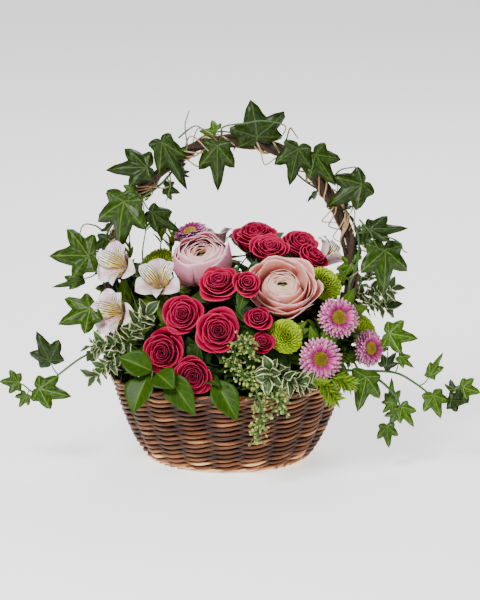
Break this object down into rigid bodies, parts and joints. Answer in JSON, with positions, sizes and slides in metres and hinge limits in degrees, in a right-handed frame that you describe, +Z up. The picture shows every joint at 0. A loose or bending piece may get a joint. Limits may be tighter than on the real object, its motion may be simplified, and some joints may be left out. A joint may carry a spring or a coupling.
{
  "type": "flower basket arrangement",
  "caption": "Oval wicker basket with a tall hoop handle wound with ivy, filled with roses, ranunculus, asters, button mums, alstroemeria and trailing foliage.",
  "frame": {"origin": "centre of the basket's underside, on the surface it stands on", "axes": "+Z up, +X along the basket's long axis and across the handle, -Y towards the viewer in the picture"},
  "size_m": [0.4548, 0.2402, 0.3485],
  "materials": {
    "willow": "stained willow, twisted pairs of rods, satin",
    "vine": "rough bark of dried vine, matt",
    "plastic": "thin dark green waterproof liner",
    "foam": "wet green floral foam, finely porous",
    "rose": "hot pink petals, velvety, paler at the rims",
    "blush": "papery blush petals, translucent",
    "lime": "lime green florets, greener in the middle",
    "aster_pink": "mauve-pink rays with pale tips",
    "aster_disc": "golden tube florets",
    "lily_white": "white tepals flushed pink, yellow throat with dark streaks",
    "stem": "green stems, sepals and leaves",
    "ivy": "waxy dark green ivy with pale veins",
    "variegated": "grey-green leaves edged with cream",
    "broadleaf": "glossy mid-green leaves with a pale rib",
    "seed": "pale green seed capsules"
  },
  "bodies": {
    "root": {"basket": "willow", "handle": "vine", "liner": "plastic", "foam": "foam", "rose_1": "rose", "rose_2": "rose", "rose_3": "rose", "rose_4": "rose", "rose_5": "rose", "rose_6": "rose", "rose_7": "rose", "rose_8": "rose", "rose_9": "rose", "rose_10": "rose", "rose_11": "rose", "rose_12": "rose", "rose_13": "rose", "ranunculus_1": "blush", "ranunculus_2": "blush", "ranunculus_3": "blush", "button_mum_1": "lime", "button_mum_2": "lime", "button_mum_3": "lime", "button_mum_4": "lime", "button_mum_5": "lime", "aster_1": "aster_pink", "aster_2": "aster_pink", "aster_3": "aster_pink", "aster_4": "aster_pink", "aster_1_disc": "aster_disc", "aster_2_disc": "aster_disc", "aster_3_disc": "aster_disc", "aster_4_disc": "aster_disc", "alstroemeria_1": "lily_white", "alstroemeria_2": "lily_white", "alstroemeria_3": "lily_white", "alstroemeria_4": "lily_white", "alstroemeria_5": "lily_white", "rose_stem_1": "stem", "rose_stem_2": "stem", "rose_stem_3": "stem", "rose_stem_4": "stem", "ranunculus_stem_1": "stem", "ranunculus_stem_2": "stem", "ranunculus_stem_3": "stem", "button_mum_stem_1": "stem", "button_mum_stem_2": "stem", "aster_stem_1": "stem", "aster_stem_2": "stem", "alstroemeria_stem_1": "stem", "alstroemeria_stem_2": "stem", "ivy_on_handle_left": "ivy", "ivy_on_handle_right": "ivy", "ivy_trail_left": "ivy", "ivy_trail_right": "ivy", "broadleaf": "broadleaf", "variegated_left": "variegated", "variegated_right": "variegated", "variegated_front": "variegated", "seeded_eucalyptus": "seed"}
  },
  "joints": []
}
